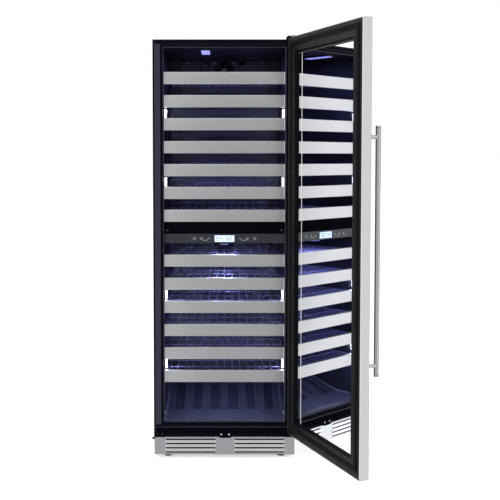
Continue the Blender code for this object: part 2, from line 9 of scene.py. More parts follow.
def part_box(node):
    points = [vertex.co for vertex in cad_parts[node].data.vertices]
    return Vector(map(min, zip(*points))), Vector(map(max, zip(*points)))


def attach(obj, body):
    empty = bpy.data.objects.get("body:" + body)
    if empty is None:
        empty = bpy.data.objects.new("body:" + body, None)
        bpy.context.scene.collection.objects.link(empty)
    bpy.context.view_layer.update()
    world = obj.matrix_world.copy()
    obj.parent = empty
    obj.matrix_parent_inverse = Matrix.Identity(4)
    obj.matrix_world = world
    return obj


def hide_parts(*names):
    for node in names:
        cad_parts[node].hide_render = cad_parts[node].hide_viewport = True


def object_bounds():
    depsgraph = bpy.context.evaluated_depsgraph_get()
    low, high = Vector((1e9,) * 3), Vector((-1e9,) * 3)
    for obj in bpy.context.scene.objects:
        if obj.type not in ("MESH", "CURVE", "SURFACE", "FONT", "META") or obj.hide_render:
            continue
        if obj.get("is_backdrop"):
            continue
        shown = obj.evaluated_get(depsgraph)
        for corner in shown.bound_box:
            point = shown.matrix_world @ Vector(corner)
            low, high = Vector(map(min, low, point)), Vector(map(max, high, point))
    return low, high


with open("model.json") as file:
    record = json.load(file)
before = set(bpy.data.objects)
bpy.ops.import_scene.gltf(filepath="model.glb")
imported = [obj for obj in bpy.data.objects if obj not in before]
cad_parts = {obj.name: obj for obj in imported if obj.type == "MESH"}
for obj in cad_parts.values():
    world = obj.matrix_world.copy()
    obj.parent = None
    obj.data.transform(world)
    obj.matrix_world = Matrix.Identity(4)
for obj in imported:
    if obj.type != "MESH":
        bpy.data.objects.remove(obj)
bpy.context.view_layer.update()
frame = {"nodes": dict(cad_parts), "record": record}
NODES = frame["nodes"]

# ------------------------------------------------------------------ the door's own frame
HINGE = next(j for j in frame["record"]["behaviour"]["joints"] if j["name"] == "door_hinge")
OPEN = math.radians(-HINGE["range_deg"][0])
PIVOT = Vector((HINGE["pos_m"][0], HINGE["pos_m"][1], 0.0))
DOOR = Matrix.Translation(PIVOT) @ Matrix.Rotation(OPEN, 4, "Z") @ Matrix.Translation(-PIVOT)


# ------------------------------------------------------------------ materials
def node(tree, kind, **values):
    made = tree.nodes.new(kind)
    for key, value in values.items():
        if hasattr(made, key):
            setattr(made, key, value)
        else:
            made.inputs[key.replace("_", " ")].default_value = value
    return made


def shader(name, colour, rough, metal=0.0, emit=None, strength=0.0, alpha=1.0, coat=0.0, gloss=0.5):
    mat = bpy.data.materials.new(name)
    mat.use_nodes = True
    bsdf = mat.node_tree.nodes["Principled BSDF"]
    bsdf.inputs["Base Color"].default_value = (*colour, 1.0)
    bsdf.inputs["Roughness"].default_value = rough
    bsdf.inputs["Metallic"].default_value = metal
    bsdf.inputs["Alpha"].default_value = alpha
    bsdf.inputs["Specular IOR Level"].default_value = gloss
    bsdf.inputs["Coat Weight"].default_value = coat
    bsdf.inputs["Coat Roughness"].default_value = 0.08
    if emit:
        bsdf.inputs["Emission Color"].default_value = (*emit, 1.0)
        bsdf.inputs["Emission Strength"].default_value = strength
    return mat, bsdf


def grained(name, colour, rough, metal=0.0, scale=(1, 1, 1), size=60.0, spread=0.12, tone=0.12,
            bump=0.05, depth=0.0004, detail=4.0, **more):
    """A surface with stretched noise in its colour, roughness and height, and broad soft smudges."""
    mat, bsdf = shader(name, colour, rough, metal, **more)
    tree = mat.node_tree
    coords = node(tree, "ShaderNodeTexCoord")
    stretch = node(tree, "ShaderNodeMapping")
    stretch.inputs["Scale"].default_value = scale
    tree.links.new(coords.outputs["Object"], stretch.inputs["Vector"])
    fine = node(tree, "ShaderNodeTexNoise", Scale=size, Detail=detail, Roughness=0.6)
    tree.links.new(stretch.outputs["Vector"], fine.inputs["Vector"])
    broad = node(tree, "ShaderNodeTexNoise", Scale=5.0, Detail=3.0, Roughness=0.55)
    tree.links.new(coords.outputs["Object"], broad.inputs["Vector"])

    rough_map = node(tree, "ShaderNodeMapRange")
    rough_map.inputs["To Min"].default_value = max(rough - spread, 0.02)
    rough_map.inputs["To Max"].default_value = min(rough + spread, 1.0)
    both = node(tree, "ShaderNodeMath", operation="MULTIPLY_ADD")
    both.inputs[1].default_value = 0.35
    tree.links.new(broad.outputs["Fac"], both.inputs[0])
    half = node(tree, "ShaderNodeMath", operation="MULTIPLY")
    half.inputs[1].default_value = 0.65
    tree.links.new(fine.outputs["Fac"], half.inputs[0])
    tree.links.new(half.outputs[0], both.inputs[2])
    tree.links.new(both.outputs[0], rough_map.inputs["Value"])
    tree.links.new(rough_map.outputs["Result"], bsdf.inputs["Roughness"])

    ramp = node(tree, "ShaderNodeValToRGB")
    ramp.color_ramp.elements[0].position = 0.25
    ramp.color_ramp.elements[1].position = 0.75
    ramp.color_ramp.elements[0].color = (*[c * (1 - tone) for c in colour], 1.0)
    ramp.color_ramp.elements[1].color = (*[min(c * (1 + tone), 1.0) for c in colour], 1.0)
    tree.links.new(both.outputs[0], ramp.inputs["Fac"])
    tree.links.new(ramp.outputs["Color"], bsdf.inputs["Base Color"])
    if bump:
        relief = node(tree, "ShaderNodeBump", Strength=bump, Distance=depth)
        tree.links.new(fine.outputs["Fac"], relief.inputs["Height"])
        tree.links.new(relief.outputs["Normal"], bsdf.inputs["Normal"])
    return mat


def plain(name, colour, rough, size, spread, tone, bump, **more):
    """A surface that isn't metal, its grain the same in every direction."""
    return grained(name, colour, rough, 0.0, (1, 1, 1), size, spread, tone, bump, **more)


# The grain's scale along X, Y and Z, small where it runs long: on the fronts, the door and the toe-kick.
BRUSH_FRONT, BRUSH_UPRIGHT, BRUSH_KICK = (0.6, 14, 14), (30, 30, 0.5), (0.5, 30, 30)
STEEL_FRONT = grained("steel_front", (0.55, 0.555, 0.57), 0.36, 1.0, BRUSH_FRONT, 55, 0.08, 0.07, 0.08)
# A brighter copy of the fronts' steel for their end caps: painted highlight.
STEEL_HIGHLIGHT = grained("steel_painted_highlight", (0.80, 0.80, 0.82), 0.24, 1.0, BRUSH_FRONT, 55, 0.08, 0.08, 0.08)
STEEL_DOOR = grained("steel_door", (0.61, 0.61, 0.605), 0.28, 1.0, BRUSH_UPRIGHT, 70, 0.04, 0.03, 0.03)
STEEL_HANDLE = grained("steel_handle", (0.53, 0.53, 0.53), 0.14, 1.0, BRUSH_UPRIGHT, 70, 0.03, 0.03, 0.02)
STEEL_KICK = grained("steel_kick", (0.56, 0.57, 0.60), 0.24, 1.0, BRUSH_KICK, 70, 0.05, 0.05, 0.03)
# The slats: a brighter copy of the toe-kick's steel, a painted highlight on the slats.
STEEL_SLAT_HIGHLIT = grained("steel_slat_painted_highlight", (0.86, 0.87, 0.90), 0.22, 1.0, BRUSH_KICK, 70, 0.05, 0.05, 0.03)
BLACK_FRAME = plain("black_frame", (0.010, 0.011, 0.026), 0.30, 420, 0.05, 0.10, 0.06, gloss=0.48)
BLACK_CASE = plain("black_case", (0.012, 0.013, 0.016), 0.42, 520, 0.08, 0.12, 0.20)
BLACK_TRIM = plain("black_trim", (0.002, 0.002, 0.004), 0.50, 600, 0.06, 0.10, 0.12, gloss=0.0)
DOOR_BLACK = plain("door_black", (0.003, 0.003, 0.004), 0.34, 600, 0.06, 0.10, 0.06, gloss=0.05)
RIDGE = plain("ridge", (0.012, 0.012, 0.014), 0.26, 600, 0.06, 0.10, 0.06, gloss=0.30)
# The floor in a lighter copy of the liner: painted light where the lamps fall on it.
LINER_FLOOR_LIT = plain("liner_floor_lit", (0.019, 0.020, 0.033), 0.36, 300, 0.06, 0.15, 0.04, gloss=0.35)
LINER = plain("liner", (0.009, 0.009, 0.018), 0.36, 300, 0.06, 0.15, 0.04, gloss=0.35)
# A darker copy of the liner for the floor's grooves: painted shade.
LINER_GROOVE_SHADE = plain("liner_groove_shade", (0.010, 0.010, 0.020), 0.40, 300, 0.06, 0.15, 0.04, gloss=0.25)
DUCT = plain("duct", (0.014, 0.014, 0.028), 0.42, 500, 0.08, 0.15, 0.10, gloss=0.35)
# A lighter copy of the duct's plastic for its upright bars: painted highlight.
DUCT_BAR_HIGHLIT = plain("duct_rib", (0.055, 0.055, 0.11), 0.35, 300, 0.06, 0.12, 0.05)
WIRE = grained("wire", (0.15, 0.15, 0.30), 0.28, 0.6, (1, 1, 1), 200, 0.08, 0.10, 0.02)
# A pale violet metal for thin beads and runners: painted glints along them.
BEAD_GLINT = grained("bead", (0.26, 0.29, 0.46), 0.20, 0.6, (1, 1, 1), 300, 0.06, 0.10, 0.02)
RUBBER = plain("rubber", (0.006, 0.006, 0.007), 0.62, 500, 0.08, 0.15, 0.25, gloss=0.07)
ZINC = grained("zinc", (0.46, 0.47, 0.48), 0.42, 0.9, (1, 1, 1), 45, 0.12, 0.18, 0.05, detail=2.0)
FOAM = plain("foam", (0.62, 0.50, 0.28), 0.9, 240, 0.05, 0.12, 0.4)
ALUMINIUM = grained("aluminium", (0.70, 0.71, 0.72), 0.36, 1.0, (8, 1, 1), 80, 0.08, 0.08, 0.1)
PANEL = plain("panel", (0.014, 0.016, 0.024), 0.32, 300, 0.04, 0.06, 0.03, gloss=0.4)
PAINT_GLOSS = plain("paint_gloss", (0.010, 0.010, 0.011), 0.28, 120, 0.08, 0.10, 0.06)
PLASTIC = plain("plastic", (0.035, 0.035, 0.042), 0.50, 400, 0.08, 0.12, 0.15)
SCREW = grained("screw", (0.55, 0.55, 0.57), 0.30, 1.0, (1, 1, 1), 300, 0.10, 0.10, 0.1)
SCREW_BLACK = grained("screw_black", (0.05, 0.05, 0.055), 0.35, 0.7, (1, 1, 1), 300, 0.10, 0.10, 0.1)
SPACER = grained("spacer", (0.085, 0.075, 0.062), 0.45, 0.3, (1, 1, 1), 300, 0.06, 0.10, 0.1)
LABEL = plain("label", (0.62, 0.63, 0.64), 0.5, 300, 0.05, 0.04, 0.05)
CREAM = plain("cream", (0.62, 0.61, 0.55), 0.45, 200, 0.05, 0.05, 0.05)
LAMP = shader("lamp", (0.9, 0.93, 1.0), 0.3, 0.0, (0.86, 0.90, 1.0), 9.0)[0]
LAMP_BLUE = shader("lamp_blue", (0.04, 0.04, 0.10), 0.3, 0.0, (0.36, 0.36, 1.0), 1.1, gloss=0.2)[0]
LCD = shader("lcd", (0.5, 0.65, 0.9), 0.2, 0.0, (0.66, 0.78, 1.0), 0.52)[0]
LCD_INK = shader("lcd_ink", (0.05, 0.10, 0.22), 0.4, 0.0, (0.16, 0.22, 0.50), 0.35)[0]
ICON = shader("icon", (0.5, 0.52, 0.55), 0.4, 0.0, (0.55, 0.60, 0.68), 0.14)[0]
MIRROR = shader("coated_glass", (0.90, 0.91, 0.93), 0.02, 1.0, alpha=0.92)[0]
TINTED = shader("tinted_glass", (0.010, 0.012, 0.020), 0.03, 0.0, alpha=0.84, coat=0.6)[0]


def glass_smudge(mat, low, high):
    """Faint wiping marks in the gloss of a pane."""
    tree = mat.node_tree
    noise = node(tree, "ShaderNodeTexNoise", Scale=7.0, Detail=6.0, Roughness=0.7)
    coords = node(tree, "ShaderNodeTexCoord")
    ramp = node(tree, "ShaderNodeMapRange")
    ramp.inputs["From Min"].default_value = 0.45
    ramp.inputs["From Max"].default_value = 0.75
    ramp.inputs["To Min"].default_value = low
    ramp.inputs["To Max"].default_value = high
    tree.links.new(coords.outputs["Object"], noise.inputs["Vector"])
    tree.links.new(noise.outputs["Fac"], ramp.inputs["Value"])
    tree.links.new(ramp.outputs["Result"], tree.nodes["Principled BSDF"].inputs["Roughness"])


glass_smudge(MIRROR, 0.008, 0.030)
glass_smudge(TINTED, 0.015, 0.060)

PAINT = {
    "outer_casing": BLACK_CASE, "rear_panel": ZINC, "front_flange": BLACK_FRAME, "foam": FOAM,
    "inner_liner": LINER, "base_pan": ZINC, "toe_kick_grille": STEEL_KICK, "zone_divider": BLACK_TRIM,
    "control_panel": PANEL, "display": LCD, "upper_hinge": BLACK_TRIM, "lower_hinge": BLACK_TRIM,
    "foot": RUBBER, "compressor": PAINT_GLOSS, "condenser": ALUMINIUM, "condenser_fan": PLASTIC,
    "upper_air": DUCT, "upper_fan": BLACK_TRIM, "lower_air": DUCT, "lower_fan": BLACK_TRIM,
    "door_frame": STEEL_DOOR, "door_inner": DOOR_BLACK, "door_gasket": RUBBER, "outer_glass": TINTED,
    "inner_glass": MIRROR, "handle": STEEL_HANDLE, "shelf": STEEL_FRONT,
}
for name, obj in NODES.items():
    mat = next(m for key, m in PAINT.items() if name.startswith(key))
    obj.data.materials.clear()
    obj.data.materials.append(mat)
    for poly in obj.data.polygons:
        poly.use_smooth = False


# ------------------------------------------------------------------ mesh helpers
def box(bm, lo, hi, r=0.0, seg=2):
    """A box, its edges rounded."""
    made = bmesh.ops.create_cube(bm, size=1.0)["verts"]
    for v in made:
        for i in range(3):
            v.co[i] = lo[i] + (hi[i] - lo[i]) * (v.co[i] + 0.5)
    if r:
        edges = list({e for v in made for e in v.link_edges})
        bmesh.ops.bevel(bm, geom=edges, offset=r, segments=seg, affect="EDGES", profile=0.5)


def rod(bm, a, b, r, seg=8):
    """A round bar from a to b."""
    a, b = Vector(a), Vector(b)
    along = b - a
    turn = along.to_track_quat("Z", "Y").to_matrix().to_4x4()
    place = Matrix.Translation((a + b) / 2) @ turn
    bmesh.ops.create_cone(bm, cap_ends=True, segments=seg, radius1=r, radius2=r, depth=along.length,
                          matrix=place)


def ball(bm, at, r, flat=(1, 1, 1), u=12, v=8):
    place = Matrix.Translation(at) @ Matrix.Diagonal((*flat, 1))
    bmesh.ops.create_uvsphere(bm, u_segments=u, v_segments=v, radius=r, matrix=place)


def bent(bm, points, r, seg=8):
    """A round wire through points, with a ball at each bend."""
    for a, b in zip(points, points[1:]):
        rod(bm, a, b, r, seg)
    for p in points[1:-1]:
        ball(bm, p, r, u=seg, v=6)


def hoop(bm, centre, radius, r, axis=1, steps=28, seg=6, start=0.0, sweep=2 * math.pi):
    """A wire ring, or part of one, round an axis."""
    i, j = [(1, 2), (0, 2), (0, 1)][axis]
    points = []
    for k in range(steps + 1):
        a = start + sweep * k / steps
        p = Vector(centre)
        p[i] += radius * math.cos(a)
        p[j] += radius * math.sin(a)
        points.append(p)
    for a, b in zip(points, points[1:]):
        rod(bm, a, b, r, seg)


def ray(bm, at, angle, inner, outer, r, seg):
    """A bar in the upright plane through a centre, pointing away from it."""
    way = Vector((math.cos(angle), 0.0, math.sin(angle)))
    rod(bm, Vector(at) + way * inner, Vector(at) + way * outer, r, seg)


def lathe(bm, at, axis, profile, steps=24):
    """A turned piece: (distance along axis, radius) pairs, from the start to the end."""
    axis = Vector(axis).normalized()
    turn = axis.to_track_quat("Z", "Y").to_matrix()
    rings = []
    for d, r in profile:
        ring = []
        for k in range(steps):
            a = 2 * math.pi * k / steps
            ring.append(bm.verts.new(Vector(at) + turn @ Vector((r * math.cos(a), r * math.sin(a), d))))
        rings.append(ring)
    for low, high in zip(rings, rings[1:]):
        for k in range(steps):
            bm.faces.new((low[k], low[(k + 1) % steps], high[(k + 1) % steps], high[k]))
    bm.faces.new(list(reversed(rings[0])))
    bm.faces.new(rings[-1])


def piece(name, build, mat, body="cabinet", slot=None, door=False, smooth=30, stands_for=()):
    """One visible piece on a CAD body. A door piece is built as if the door were closed."""
    bm = bmesh.new()
    build(bm)
    if door:
        bmesh.ops.transform(bm, matrix=DOOR, verts=bm.verts)
    bmesh.ops.recalc_face_normals(bm, faces=bm.faces)
    mesh = bpy.data.meshes.new(name)
    bm.to_mesh(mesh)
    bm.free()
    mesh.materials.append(mat)
    if smooth:
        mesh.shade_smooth()
        mesh.set_sharp_from_angle(angle=math.radians(smooth))
    obj = bpy.data.objects.new(name, mesh)
    bpy.context.scene.collection.objects.link(obj)
    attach(obj, body)
    if stands_for:
        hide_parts(*stands_for)
    return obj


FORWARD, BACKWARD = (0, -1, 0), (0, 1, 0)


def screw_head(bm, at, axis, r=0.0042, h=0.0016):
    """A domed screw head, sunk in its middle."""
    profile = [(0.0, r), (h * 0.45, r), (h * 0.8, r * 0.8), (h, r * 0.45), (h * 0.75, r * 0.3)]
    lathe(bm, at, axis, profile, 14)


def screws(spots, axis, *size):
    """What builds a screw head at each spot."""
    def build(bm):
        for at in spots:
            screw_head(bm, at, axis, *size)
    return build


# ------------------------------------------------------------------ measured from the CAD
FLANGE_LO, FLANGE_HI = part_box("front_flange")
LINER_LO, LINER_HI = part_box("inner_liner")
DIVIDER_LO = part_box("zone_divider")[0]
STRIP_LO, STRIP_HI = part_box("control_panel")
DISPLAY_LO, DISPLAY_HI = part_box("display")
KICK_LO, KICK_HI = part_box("toe_kick_grille")
DUCTS = {zone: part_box(f"{zone}_air_duct") for zone in ("upper", "lower")}
DUCT_FRONT, DUCT_BOTTOM = DUCTS["lower"][0].y, DUCTS["lower"][0].z
GASKET_LO, GASKET_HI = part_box("door_gasket")
HANDLE_LO, HANDLE_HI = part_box("handle")
DOOR_LOW, DOOR_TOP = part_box("door_frame")[0].z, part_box("door_frame")[1].z
REAR_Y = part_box("rear_panel")[1].y
LINER_WALL = 0.0015
IN_X = LINER_HI.x - LINER_WALL
IN_TOP, IN_FLOOR = LINER_HI.z - LINER_WALL, LINER_LO.z + LINER_WALL


# ------------------------------------------------------------------ racks and shelf fronts
# How far the wires turn up at the back, the radii of the wires and how many there are.
BACK_STOP = 0.020
WIRE_R, CROSS_R = 0.0026, 0.0024
BOTTLE_WIRES, CROSS_WIRES = 15, 5


def rack(bm, lo, hi):
    """Coated wire rack: side rails, cross wires underneath and bottle wires that turn up at the back."""
    left, right, back = lo.x + CROSS_R, hi.x - CROSS_R, hi.y - 0.004
    low, top = lo.z + 0.0005, hi.z - WIRE_R
    stop = top + BACK_STOP
    for x in (left, right):
        bent(bm, [(x, lo.y + 0.003, low), (x, back, low), (x, back, stop)], CROSS_R)
    rod(bm, (left, back, stop), (right, back, stop), CROSS_R)
    for k in range(CROSS_WIRES):
        y = lo.y + 0.006 + (hi.y - lo.y - 0.014) * k / (CROSS_WIRES - 1)
        rod(bm, (left, y, low), (right, y, low), CROSS_R)
    for k in range(BOTTLE_WIRES):
        x = lo.x + 0.016 + (hi.x - lo.x - 0.032) * k / (BOTTLE_WIRES - 1)
        line = [(x, lo.y + 0.001, top + 0.006), (x, lo.y + 0.018, top),
                (x, hi.y - 0.020, top), (x, back, stop)]
        bent(bm, line, WIRE_R, 6)


def shelf_front(bm, lo, hi):
    box(bm, lo, hi, 0.0022, 3)


def front_back(bm, lo, hi):
    """The black carrier behind a steel front, with its three clips."""
    y = hi.y
    box(bm, (lo.x + 0.004, y - 0.0002, lo.z + 0.004), (hi.x - 0.004, y + 0.004, hi.z - 0.018), 0.001, 1)
    for x in (lo.x + 0.03, hi.x - 0.03, 0.0):
        box(bm, (x - 0.008, y + 0.001, lo.z + 0.010), (x + 0.008, y + 0.009, lo.z + 0.026), 0.001, 1)


def front_caps(bm, lo, hi):
    """The ends of a steel front, in a brighter copy of its steel: a painted highlight on the ends."""
    for x0, x1 in ((lo.x - 0.0006, lo.x + 0.0042), (hi.x - 0.0042, hi.x + 0.0006)):
        box(bm, (x0, lo.y - 0.0006, lo.z - 0.0002), (x1, hi.y + 0.0002, hi.z + 0.0002), 0.0012, 2)


for i in range(1, 14):
    body = f"shelf_{i:02d}"
    lo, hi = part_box(body + "_rack")
    piece(body + "_wires", lambda bm: rack(bm, lo, hi), WIRE, body, "wire", stands_for=[body + "_rack"])
    lo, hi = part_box(body + "_front")
    piece(body + "_fascia", lambda bm: shelf_front(bm, lo, hi), STEEL_FRONT, body, "stainless",
          stands_for=[body + "_front"])
    piece(body + "_carrier", lambda bm: front_back(bm, lo, hi), BLACK_TRIM, body, "black_plastic")
    piece(body + "_end_caps", lambda bm: front_caps(bm, lo, hi), STEEL_HIGHLIGHT, body, "stainless")


# ------------------------------------------------------------------ control strip
def seven(bm, x, z, w, h, digit, y, t=0.0021):
    """A seven-segment digit as thin bars."""
    on = {"0": "abcdef", "1": "bc", "2": "abged", "3": "abgcd", "4": "fgbc", "5": "afgcd",
          "6": "afgecd", "7": "abc", "8": "abcdefg", "9": "abcdfg"}[digit]
    spans = {"a": ((0, h), (w, h)), "b": ((w, h), (w, h / 2)), "c": ((w, h / 2), (w, 0)),
             "d": ((0, 0), (w, 0)), "e": ((0, 0), (0, h / 2)), "f": ((0, h / 2), (0, h)),
             "g": ((0, h / 2), (w, h / 2))}
    for s in on:
        (x0, z0), (x1, z1) = spans[s]
        box(bm, (x + min(x0, x1) - t / 2, y - 0.0003, z + min(z0, z1) - t / 2),
            (x + max(x0, x1) + t / 2, y, z + max(z0, z1) + t / 2))


def lcd_digits(bm):
    """Two generic temperatures, each with its degree mark, and the line between them."""
    y = DISPLAY_LO.y - 0.0001
    z = DISPLAY_LO.z + 0.0065
    for x, d in ((-0.0345, "5"), (-0.0215, "4"), (0.0095, "6"), (0.0225, "2")):
        seven(bm, x, z, 0.0078, 0.0150, d, y)
    for x in (-0.0075, 0.0365):
        box(bm, (x - 0.0011, y - 0.0003, z + 0.0120), (x + 0.0011, y, z + 0.0145))
    box(bm, (-0.0012, y - 0.0003, DISPLAY_LO.z + 0.004), (-0.0004, y, DISPLAY_HI.z - 0.004))


def lcd_bezel(bm):
    """A thin frame round the display's window."""
    t, gap = 0.0016, 0.0002
    lo, hi, y0, y1 = DISPLAY_LO, DISPLAY_HI, STRIP_LO.y - 0.0022, STRIP_LO.y - 0.0003
    for a, b in (((lo.x - t, y0, lo.z - t), (hi.x + t, y1, lo.z - gap)),
                 ((lo.x - t, y0, hi.z + gap), (hi.x + t, y1, hi.z + t)),
                 ((lo.x - t, y0, lo.z), (lo.x - gap, y1, hi.z)),
                 ((hi.x + gap, y0, lo.z), (hi.x + t, y1, hi.z))):
        box(bm, a, b)


LAMP_KEY_X, UP_KEY_X, DOWN_KEY_X = 0.0964, -0.065, 0.0658
KEYS = ((-0.126, "power"), (-LAMP_KEY_X, "lamp"), (UP_KEY_X, "up"),
        (DOWN_KEY_X, "down"), (LAMP_KEY_X, "lamp"), (0.127, "power"))


def icons(bm):
    """Printed touch keys: power, lamp and an arrow in a row on each side of the window."""
    y, z = STRIP_LO.y - 0.0002, (STRIP_LO.z + STRIP_HI.z) / 2
    r = 0.0005
    for x, kind in KEYS:
        at = (x, y, z)
        if kind == "power":
            hoop(bm, at, 0.0046, r, 1, 14, 5, math.radians(120), math.radians(300))
            rod(bm, (x, y, z + 0.001), (x, y, z + 0.0062), r, 5)
        elif kind == "lamp":
            hoop(bm, at, 0.0032, r, 1, 14, 5)
            for k in range(8):
                ray(bm, at, math.pi * k / 4, 0.0046, 0.0062, r * 0.8, 4)
        else:
            s = 1 if kind == "up" else -1
            rod(bm, (x - 0.005, y, z - 0.003 * s), (x, y, z + 0.003 * s), r, 5)
            rod(bm, (x + 0.005, y, z - 0.003 * s), (x, y, z + 0.003 * s), r, 5)
    # An arc over each lamp key and the arrow beside it, and two dots at the left end.
    for x in ((UP_KEY_X - LAMP_KEY_X) / 2, (DOWN_KEY_X + LAMP_KEY_X) / 2):
        hoop(bm, (x, y, z + 0.012), 0.0200, r, 1, 10, 4, math.radians(235), math.radians(70))
    for dz in (-0.007, 0.007):
        ball(bm, (-0.141, y, z + dz), 0.0008, u=8, v=6)


piece("lcd_digits", lcd_digits, LCD_INK, slot="display_glass", smooth=0)
piece("lcd_bezel", lcd_bezel, BLACK_TRIM, slot="panel_grey", smooth=0)
piece("touch_key_marks", icons, ICON, slot="panel_grey")
piece("divider_screws",
      screws([(x, DIVIDER_LO.y + 0.0001, DIVIDER_LO.z + 0.0545) for x in (-0.239, 0.240)], FORWARD),
      SCREW_BLACK, slot="stainless")


# ------------------------------------------------------------------ inside the cavity
GUARD_PROUD = 0.0022
FILTER_X, FILTER_ABOVE_FAN = -0.0905, 0.019
OUTLET_PITCH, OUTLETS = 0.070, 5
# The duct's bars: their pitch, how many stand in a row, their length and the pitch of the rows.
BAR_PITCH, BAR_COUNT, BAR_LENGTH, BAR_ROW = 0.0105, 23, 0.034, 0.0475


def fan_guard(bm, at, front):
    """Moulded grille over a fan: rings, radial bars and a rim."""
    middle = (at.x, front - GUARD_PROUD, at.z)
    for r in (0.037, 0.030, 0.023):
        hoop(bm, middle, r, 0.0010, 1, 32, 6)
    bars = 20
    for k in range(bars):
        ray(bm, middle, 2 * math.pi * k / bars, 0.013, 0.0425, 0.0009, 6)
    for r, h in ((0.0462, 0.0), (0.0436, 0.0014)):
        hoop(bm, (at.x, front - h, at.z), r, 0.0018, 1, 40, 8)


def fan_hub(bm, at, front):
    """The grille's round middle, with a moulded cross."""
    y = front - GUARD_PROUD
    profile = [(0, 0.0148), (0.0016, 0.0144), (0.0024, 0.0128), (0.0020, 0.0118)]
    lathe(bm, (at.x, y, at.z), FORWARD, profile, 28)
    arm, y = 0.007, y - 0.0022
    for s in (-arm, arm):
        rod(bm, (at.x - arm, y, at.z - s), (at.x + arm, y, at.z + s), 0.0009, 6)


def duct_ribs(bm, at, lo, hi):
    """Louvre lips over the outlets, and a raised line down each side of the panel."""
    for k in range(OUTLETS):
        z = at.z - 0.040 - OUTLET_PITCH * (k + 1)
        box(bm, (-0.118, lo.y - 0.0030, z + 0.0085), (0.118, lo.y + 0.0010, z + 0.0115), 0.0008, 1)
    for sx in (-1, 1):
        x = sorted((sx * (hi.x - 0.0010), sx * (hi.x - 0.0040)))
        box(bm, (x[0], lo.y - 0.0014, lo.z + 0.004), (x[1], lo.y + 0.001, hi.z - 0.004), 0.0004, 1)


def duct_bars(bm, at, lo):
    """Upright bars standing in rows down the duct's panel, in a lighter copy of the duct's plastic: painted
    highlight.
    """
    y, z = lo.y - 0.0006, at.z - 0.072
    while z - BAR_LENGTH > lo.z + 0.010:
        for k in range(BAR_COUNT):
            x = (k - (BAR_COUNT - 1) / 2) * BAR_PITCH
            rod(bm, (x, y, z - BAR_LENGTH), (x, y, z), 0.0013, 6)
        z -= BAR_ROW


def duct_screws(bm, at, lo, hi):
    """Screws along the panel's top, beside the fan and along the panel's foot."""
    spots = [(x, hi.z - 0.0045) for x in (-0.173, -0.054, 0.183)]
    spots += [(at.x + x, at.z + 0.0385) for x in (-0.042, 0.042)]
    spots += [(x, lo.z + 0.018) for x in (-0.173, 0.0, 0.173)]
    for x, z in spots:
        screw_head(bm, (x, lo.y + 0.0002, z), FORWARD, 0.0038, 0.0022)


def filter_cap(bm, at, front):
    """A round charcoal filter's cap, dished in the middle, with a grip bar."""
    profile = [(0, 0.0180), (0.0040, 0.0178), (0.0046, 0.0165), (0.0032, 0.0060)]
    z, grip_y, grip = at.z + FILTER_ABOVE_FAN, front - 0.0052, 0.0085
    lathe(bm, (FILTER_X, front + 0.0005, z), FORWARD, profile, 32)
    rod(bm, (FILTER_X - grip, grip_y, z), (FILTER_X + grip, grip_y, z), 0.0014, 8)


def filter_ring(bm, at, front):
    """The moulded rings that the filter cap sits in."""
    for r, h in ((0.0200, 0.0026), (0.0218, 0.0012)):
        hoop(bm, (FILTER_X, front - h, at.z + FILTER_ABOVE_FAN), r, 0.0016, 1, 36, 8)


def probe(bm, at, front):
    """A temperature probe's guard, with upright ribs on its face."""
    low, high = at.z + 0.0300, at.z + 0.0440
    box(bm, (0.068, front - 0.011, low), (0.102, front + 0.0005, high), 0.0022, 2)
    for k in range(4):
        x = 0.0735 + 0.0075 * k
        box(bm, (x, front - 0.0125, low + 0.0015), (x + 0.0022, front - 0.0105, high - 0.0015), 0.0005, 1)


for zone, (lo, hi) in DUCTS.items():
    fan_lo, fan_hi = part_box(f"{zone}_fan_rotor")
    at = (fan_lo + fan_hi) / 2
    piece(f"{zone}_fan_guard", lambda bm: fan_guard(bm, at, lo.y), BLACK_TRIM, slot="fan_grey")
    piece(f"{zone}_fan_hub", lambda bm: fan_hub(bm, at, lo.y), PLASTIC, slot="fan_grey")
    piece(f"{zone}_duct_ribs", lambda bm: duct_ribs(bm, at, lo, hi), DUCT, slot="duct")
    piece(f"{zone}_duct_bars", lambda bm: duct_bars(bm, at, lo), DUCT_BAR_HIGHLIT, slot="duct")
    piece(f"{zone}_duct_screws", lambda bm: duct_screws(bm, at, lo, hi), SCREW, slot="stainless")
    piece(f"{zone}_filter_cap", lambda bm: filter_cap(bm, at, lo.y), DUCT, slot="fan_grey")
    piece(f"{zone}_filter_ring", lambda bm: filter_ring(bm, at, lo.y), BLACK_TRIM, slot="fan_grey")
    piece(f"{zone}_sensor", lambda bm: probe(bm, at, lo.y), BLACK_TRIM, slot="fan_grey")


RACK_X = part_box("shelf_01_rack")[1].x
RACKS = [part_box(f"shelf_{i:02d}_rack")[0].z for i in range(1, 14)]


def runners(bm):
    """A slim runner on each side wall, level with the underside of each rack, in the pale bead material: a
    painted highlight line.
    """
    for z in RACKS:
        for sx in (-1, 1):
            xs = sorted((sx * (IN_X + 0.0003), sx * (RACK_X + 0.0012)))
            box(bm, (xs[0], 0.070, z - 0.0010), (xs[1], 0.500, z + 0.0045), 0.0005, 1)


piece("rack_runners", runners, BEAD_GLINT, slot="liner", smooth=0)


# A ceiling lamp's half width outside and inside its wall, its depth, and where each lamp is.
LAMP_OUT, LAMP_IN, LAMP_DEPTH = 0.0215, 0.0180, 0.0085
CEILING_LAMPS = (("upper", -0.080, 0.060, 0.200, IN_TOP), ("lower", 0.0, 0.060, 0.150, DIVIDER_LO.z))


